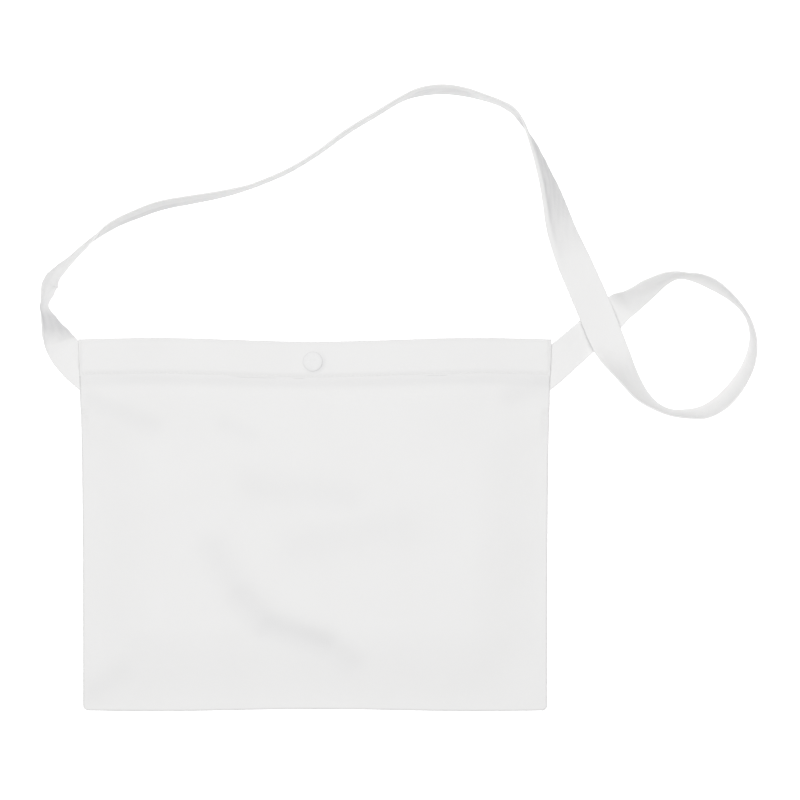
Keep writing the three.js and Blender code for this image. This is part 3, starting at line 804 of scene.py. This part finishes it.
def strap_rings():
    """All the section rings along the strap, with each one's distance from the first."""
    rings = []
    travel = 0
    before = None
    for step in range((len(STRAP) - 1) * STEPS_PER_ROW + 1):
        place = step / STEPS_PER_ROW
        edge = Vector(between(ROUTE, place))
        course = Vector(between(ROUTE, min(place + COURSE_REACH, len(STRAP) - 1)))
        course -= Vector(between(ROUTE, max(place - COURSE_REACH, 0)))
        left = Vector((-course.y, course.x)).normalized()
        travel += (edge - before).length if before else 0
        before = edge
        rings.append((travel, *strap_ring(place, edge, left, travel)))
    return rings


STRAP_RINGS = strap_rings()


def lay_strap(u, v):
    travel, points, painted_shades = STRAP_RINGS[round(u * (len(STRAP_RINGS) - 1))]
    stop = round(v * (len(TAPE_SECTION) - 1))
    return points[stop], (travel, TAPE_SECTION[stop][0] * TAPE_WIDTH), painted_shades[stop]


tape_strap = laid_grid(
    "tape_strap", len(STRAP_RINGS) - 1, len(TAPE_SECTION) - 1, lay_strap, closed=True)

# %% [markdown]
# ## The press snap
# Its outer cap is a low lens with a rounded rim, pressed into the cloth, on a short shank. A
# profile of a few points, spun once round the snap's axis, gives it. The inner parts stay as the
# solids have them.

# %% Cap of the snap
CAP_PROFILE = [
    # radius as a share of the cap's, height as a share of its height
    (0.00, 0.06), (0.30, 0.06), (0.55, 0.04), (0.75, 0.01), (0.88, -0.04), (0.96, -0.09),
    (1.00, -0.13), (1.00, -0.26), (0.96, -0.30), (0.50, -0.30),
]
CAP_STEPS = 48
SHANK_RADIUS = 2.2 * MM


def spun_cap():
    bm = bmesh.new()
    base = cap_high.z - CAP_HEIGHT
    middle = Vector((CAP_MIDDLE.x, CAP_MIDDLE.y, 0))
    profile = [
        (radius * CAP_DIAMETER / 2, base + height * CAP_HEIGHT) for radius, height in CAP_PROFILE]
    profile += [(SHANK_RADIUS, profile[-1][1]), (SHANK_RADIUS, cap_low.z), (0, cap_low.z)]
    verts = [bm.verts.new(middle + Vector((radius, 0, height))) for radius, height in profile]
    edges = [bm.edges.new(pair) for pair in zip(verts, verts[1:])]
    bmesh.ops.spin(
        bm, geom=verts + edges, cent=middle, axis=(0, 0, 1), angle=2 * math.pi,
        steps=CAP_STEPS, use_merge=True)
    bmesh.ops.remove_doubles(bm, verts=bm.verts[:], dist=MERGE)
    bmesh.ops.recalc_face_normals(bm, faces=bm.faces[:])
    smooth_faces(bm)
    return piece_from(bm, "snap_dome")


snap_dome = spun_cap()
print("cap:", round(CAP_DIAMETER / MM, 1), "mm across")

# %% [markdown]
# ## Stitches
# One row of straight stitches holds each hem. A stitch is a short thread that dips into the
# cloth at both ends, so a stretched round blob, half sunk in the cloth, is enough. All of a
# hem's stitches are one mesh.

# %% Rows of stitches
STITCH_INSET = 1.8 * MM
STITCH_PITCH = 3 * MM
STITCH_LENGTH = 2.3 * MM
STITCH_SLANT = 0.05
STITCH_SHORTFALL = 8 * MM
THREAD = 0.45 * MM
THREAD_LIFT = 0.04 * MM


def stitch_row(name, underside, sign):
    bm = bmesh.new()
    count = int((MOUTH_WIDTH - STITCH_SHORTFALL) / STITCH_PITCH)
    radius = outer_leg(STITCH_INSET)
    for index in range(count + 1):
        x = (index - count / 2) * STITCH_PITCH
        y = mouth_line(x / HALF_MOUTH) - HEM_HEIGHT + STITCH_INSET
        z = underside(x) + CLOTH / 2 + sign * (radius + THREAD_LIFT)
        shape = Matrix.LocRotScale(
            Vector((x, y, z)), Euler((0, 0, STITCH_SLANT)),
            Vector((STITCH_LENGTH, THREAD, THREAD)))
        bmesh.ops.create_uvsphere(bm, u_segments=8, v_segments=6, radius=0.5, matrix=shape)
    smooth_faces(bm)
    print(name, count + 1, "stitches")
    return piece_from(bm, name)


front_stitches = stitch_row("front_stitches", mouth_underside, 1)
back_stitches = stitch_row("back_stitches", lambda x: PITCH, -1)

# %% [markdown]
# ## Weave
# Plain weave is a chequer of threads: one goes over where its neighbour goes under. The pattern
# is worked out from the cloth's own flat place with a few sines, so it can be used for canvas and
# for tape with other thread spacings. It's a node group, built once, which gives out a height and
# a mask of the hollows between the threads.

# %% Node helpers
def set_values(node, values):
    for label, value in values.items():
        node.inputs[label].default_value = value


def node_group(name, inputs, outputs):
    group = bpy.data.node_groups.new(name, "ShaderNodeTree")
    for label, kind, value in inputs:
        socket = group.interface.new_socket(name=label, in_out="INPUT", socket_type=kind)
        if value is not None:
            socket.default_value = value
    for label, kind in outputs:
        group.interface.new_socket(name=label, in_out="OUTPUT", socket_type=kind)
    return group, group.nodes.new("NodeGroupInput"), group.nodes.new("NodeGroupOutput")


def math_node(tree, operation, *values):
    node = tree.nodes.new("ShaderNodeMath")
    node.operation = operation
    for index, value in enumerate(values):
        if isinstance(value, (int, float)):
            node.inputs[index].default_value = value
        else:
            tree.links.new(value, node.inputs[index])
    return node.outputs[0]


def noise_node(tree, place, values):
    node = tree.nodes.new("ShaderNodeTexNoise")
    set_values(node, values)
    tree.links.new(place, node.inputs["Vector"])
    return node


def colour_mix(tree, factor, light, dark):
    """A blend of two linked colours, given back as its output."""
    node = tree.nodes.new("ShaderNodeMix")
    node.data_type = "RGBA"
    tree.links.new(factor, node.inputs["Factor"])
    tree.links.new(light, node.inputs[6])
    tree.links.new(dark, node.inputs[7])
    return node.outputs[2]


# %% The weave group
WANDER_SCALE = 160
WANDER_DETAIL = 2


def weave_group():
    group, given, result = node_group(
        "plain weave",
        [("Place", "NodeSocketVector", None), ("Warp spacing", "NodeSocketFloat", 0.0006),
         ("Weft spacing", "NodeSocketFloat", 0.0006), ("Slub", "NodeSocketFloat", 0.3)],
        [("Height", "NodeSocketFloat"), ("Hollows", "NodeSocketFloat")])
    place = given.outputs["Place"]
    wander = noise_node(group, place, {"Scale": WANDER_SCALE, "Detail": WANDER_DETAIL})
    split = group.nodes.new("ShaderNodeSeparateXYZ")
    group.links.new(place, split.inputs[0])
    drift = math_node(group, "MULTIPLY", wander.outputs["Fac"], given.outputs["Slub"])
    threads = []
    for axis, spacing in (("X", "Warp spacing"), ("Y", "Weft spacing")):
        counted = math_node(group, "DIVIDE", split.outputs[axis], given.outputs[spacing])
        counted = math_node(group, "ADD", counted, drift)
        threads.append(math_node(group, "SINE", math_node(group, "MULTIPLY", counted, math.pi)))
    over = math_node(group, "MULTIPLY", *threads)
    share = math_node(group, "MULTIPLY_ADD", over, 0.5, 0.5)
    warp = math_node(group, "MULTIPLY", math_node(group, "ABSOLUTE", threads[0]), share)
    rest = math_node(group, "SUBTRACT", 1, share)
    weft = math_node(group, "MULTIPLY", math_node(group, "ABSOLUTE", threads[1]), rest)
    height = math_node(group, "MAXIMUM", warp, weft)
    uneven = math_node(group, "MULTIPLY_ADD", wander.outputs["Fac"], given.outputs["Slub"], height)
    group.links.new(uneven, result.inputs["Height"])
    group.links.new(math_node(group, "SUBTRACT", 1, height), result.inputs["Hollows"])
    return group


WEAVE = weave_group()

# %% [markdown]
# ## Tone and painted shade of the cotton
# White cotton isn't one flat white. Broad patches are a shade warmer or cooler and single threads
# are darker. Painted shade is added as well: a little in the hollows of the weave, and more where
# the mesh's painted shade attribute says, in dents, grooves, round the snap and on the tape. A
# second group mixes the colour from those four.

# %% The tone and painted shade group
PATCH_DETAIL = 3
PATCH_SHADE = 0.35
FLECK_SCALE = 900
FLECK_SHADE = 0.25
HOLLOW_SHADE = 0.4
SMOOTHEST = 0.84
ROUGHER = 0.08


def tone_and_shade_group():
    group, given, result = node_group(
        "cotton tone and painted shade",
        [("Place", "NodeSocketVector", None), ("Light", "NodeSocketColor", (0.8, 0.8, 0.8, 1)),
         ("Dark", "NodeSocketColor", (0.7, 0.7, 0.7, 1)), ("Hollows", "NodeSocketFloat", 0),
         ("Patch size", "NodeSocketFloat", 0.05), ("Crease", "NodeSocketFloat", 0),
         ("Creased", "NodeSocketColor", (0.6, 0.6, 0.61, 1))],
        [("Color", "NodeSocketColor"), ("Roughness", "NodeSocketFloat")])
    patches = noise_node(group, given.outputs["Place"], {"Detail": PATCH_DETAIL})
    patch_scale = math_node(group, "DIVIDE", 1, given.outputs["Patch size"])
    group.links.new(patch_scale, patches.inputs["Scale"])
    flecks = noise_node(group, given.outputs["Place"], {"Scale": FLECK_SCALE})
    shade = math_node(group, "MULTIPLY", patches.outputs["Fac"], PATCH_SHADE)
    shade = math_node(group, "MULTIPLY_ADD", flecks.outputs["Fac"], FLECK_SHADE, shade)
    shade = math_node(group, "MULTIPLY_ADD", given.outputs["Hollows"], HOLLOW_SHADE, shade)
    blend = colour_mix(group, shade, given.outputs["Light"], given.outputs["Dark"])
    # Painted shade: the colour is mixed towards a grey by the mesh's painted shade attribute.
    painted_shade = colour_mix(group, given.outputs["Crease"], blend, given.outputs["Creased"])
    group.links.new(painted_shade, result.inputs["Color"])
    rough = math_node(group, "MULTIPLY_ADD", patches.outputs["Fac"], ROUGHER, SMOOTHEST)
    group.links.new(rough, result.inputs["Roughness"])
    return group


TONE_AND_SHADE = tone_and_shade_group()

# %% [markdown]
# ## Canvas, tape and thread
# All three are the same bleached cotton. They differ in how far their threads lie apart and in
# how high these stand. A little sheen stands for the fuzz of fibres that catches light at a
# glancing angle.

# %% Cotton materials
COTTON = {"Sheen Weight": 0.12, "Sheen Roughness": 0.5, "Specular IOR Level": 0.25}
WEAVE_BUMP = 0.6


def new_material(name, values):
    """A material with the given values on its shader."""
    material = bpy.data.materials.new(name)
    material.use_nodes = True
    shader = material.node_tree.nodes["Principled BSDF"]
    set_values(shader, values)
    return material, material.node_tree, shader


def group_node(tree, group, values):
    node = tree.nodes.new("ShaderNodeGroup")
    node.node_tree = group
    set_values(node, values)
    return node


def bump_node(tree, distance, strength):
    node = tree.nodes.new("ShaderNodeBump")
    set_values(node, {"Distance": distance, "Strength": strength})
    return node


def cotton_material(name, light, dark, warp, weft, slub, thread_height):
    material, tree, shader = new_material(name, COTTON)
    place = tree.nodes.new("ShaderNodeUVMap")
    place.uv_map = "cloth"
    weave = group_node(
        tree, WEAVE, {"Warp spacing": warp, "Weft spacing": weft, "Slub": slub})
    tone = group_node(tree, TONE_AND_SHADE, {"Light": (*light, 1), "Dark": (*dark, 1)})
    bump = bump_node(tree, thread_height, WEAVE_BUMP)
    tree.links.new(place.outputs["UV"], weave.inputs["Place"])
    tree.links.new(place.outputs["UV"], tone.inputs["Place"])
    tree.links.new(weave.outputs["Hollows"], tone.inputs["Hollows"])
    # The mesh attribute holds painted shade: darker in dents, grooves, round the snap and on the
    # tape.
    painted_shade = tree.nodes.new("ShaderNodeAttribute")
    painted_shade.attribute_name = "painted_shade"
    tree.links.new(painted_shade.outputs["Fac"], tone.inputs["Crease"])
    tree.links.new(weave.outputs["Height"], bump.inputs["Height"])
    tree.links.new(tone.outputs["Color"], shader.inputs["Base Color"])
    tree.links.new(tone.outputs["Roughness"], shader.inputs["Roughness"])
    tree.links.new(bump.outputs["Normal"], shader.inputs["Normal"])
    return material


canvas = cotton_material(
    "canvas", light=(0.82, 0.82, 0.82), dark=(0.76, 0.755, 0.75), warp=0.55 * MM,
    weft=0.6 * MM, slub=0.35, thread_height=0.1 * MM)
tape_cotton = cotton_material(
    "tape cotton", light=(0.84, 0.84, 0.84), dark=(0.775, 0.77, 0.765), warp=0.9 * MM,
    weft=0.5 * MM, slub=0.25, thread_height=0.14 * MM)

# %% [markdown]
# ## Thread, enamel and plastic
# Thread is cotton too, with a fine twist across each stitch. The cap is enamelled: a smooth white
# coat with a soft gloss, very slightly uneven. The inner snap parts are moulded plastic.

# %% Small materials
COAT_ROUGHNESS = 0.15
GRAIN_BUMP = 0.5
DARK_GRAIN = 0.94


def plain_material(name, colour, roughness, grain, grain_height, coat=0.0):
    material, tree, shader = new_material(
        name, {"Roughness": roughness, "Coat Weight": coat, "Coat Roughness": COAT_ROUGHNESS})
    place = tree.nodes.new("ShaderNodeTexCoord")
    speckle = noise_node(tree, place.outputs["Object"], {"Scale": grain})
    bump = bump_node(tree, grain_height, GRAIN_BUMP)
    ramp = tree.nodes.new("ShaderNodeMix")
    ramp.data_type = "RGBA"
    ramp.inputs[6].default_value = (*colour, 1)
    ramp.inputs[7].default_value = (*(DARK_GRAIN * part for part in colour), 1)
    tree.links.new(speckle.outputs["Fac"], ramp.inputs["Factor"])
    tree.links.new(speckle.outputs["Fac"], bump.inputs["Height"])
    tree.links.new(ramp.outputs[2], shader.inputs["Base Color"])
    tree.links.new(bump.outputs["Normal"], shader.inputs["Normal"])
    return material


thread = plain_material(
    "thread", (0.82, 0.82, 0.81), roughness=0.8, grain=2500, grain_height=0.05 * MM)
enamel = plain_material(
    "white enamel", (0.735, 0.735, 0.735), roughness=0.5, grain=400, grain_height=0.01 * MM,
    coat=0.1)
moulded = plain_material(
    "moulded plastic", (0.80, 0.80, 0.79), roughness=0.45, grain=700, grain_height=0.01 * MM)

# %% [markdown]
# ## Dress the pieces
# Each piece gets its material, rides on the part's one body, and stands in for its solid.

# %% Materials and bodies
DRESSED = [
    (front_cloth, canvas, "cotton", ["front_panel"]),
    (back_cloth, canvas, "cotton", ["back_panel"]),
    (front_hem_band, canvas, "cotton", ["front_hem"]),
    (back_hem_band, canvas, "cotton", ["back_hem"]),
    (tape_strap, tape_cotton, "tape", ["strap"]),
    (snap_dome, enamel, "enamel", ["snap_cap"]),
    (front_stitches, thread, "cotton", []),
    (back_stitches, thread, "cotton", []),
]
for piece, material, slot, stands_for in DRESSED:
    piece.data.materials.append(material)
    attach(piece, "root")
    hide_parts(*stands_for)

for inner in ("snap_socket", "snap_stud", "snap_post"):
    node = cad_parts[inner]
    for holder in node.material_slots:
        holder.material = moulded

print("dressed:", [piece.name for piece, *_ in DRESSED])

# %% [markdown]
# ## Floor and light
# The bag lay on a white table that was lit evenly, so that almost no shadow showed round it. A
# pale floor that glows very slightly does the same. One big soft light, nearly overhead, shapes
# the folds, and the white surroundings fill the rest.

# %% Floor, light and surroundings
FLOOR_SIZE = 4
FLOOR_DROP = 0.2 * MM
WHITE = 1, 1, 1, 1
TABLE = {
    "Base Color": (0.9, 0.9, 0.9, 1), "Roughness": 0.8,
    "Emission Color": WHITE, "Emission Strength": 0.45,
}
ROOM = {"Color": WHITE, "Strength": 0.38}
LIGHT_PLACE = Vector((-0.06, 0.2, 2.2))
LIGHT_AIM = Vector((0, 0.05, 0))
LIGHT_SIZE = 2.2
LIGHT_POWER = 42.5


def white_floor():
    bm = bmesh.new()
    bmesh.ops.create_grid(bm, x_segments=1, y_segments=1, size=FLOOR_SIZE)
    bmesh.ops.translate(bm, verts=bm.verts[:], vec=(0, 0, -FLOOR_DROP))
    floor = piece_from(bm, "floor")
    floor.data.materials.append(new_material("white table", TABLE)[0])


def soft_light():
    data = bpy.data.lights.new("key light", "AREA")
    data.shape = "DISK"
    data.size = LIGHT_SIZE
    data.energy = LIGHT_POWER
    light = bpy.data.objects.new("key light", data)
    light.location = LIGHT_PLACE
    light.rotation_euler = (LIGHT_AIM - LIGHT_PLACE).to_track_quat("-Z", "Y").to_euler()
    bpy.context.scene.collection.objects.link(light)


white_floor()
soft_light()
world = bpy.data.worlds.new("white room")
world.use_nodes = True
set_values(world.node_tree.nodes["Background"], ROOM)
bpy.context.scene.world = world
bpy.context.scene.view_settings.view_transform = "Standard"
bpy.context.scene.view_settings.look = "None"
print("light:", LIGHT_POWER, "W")
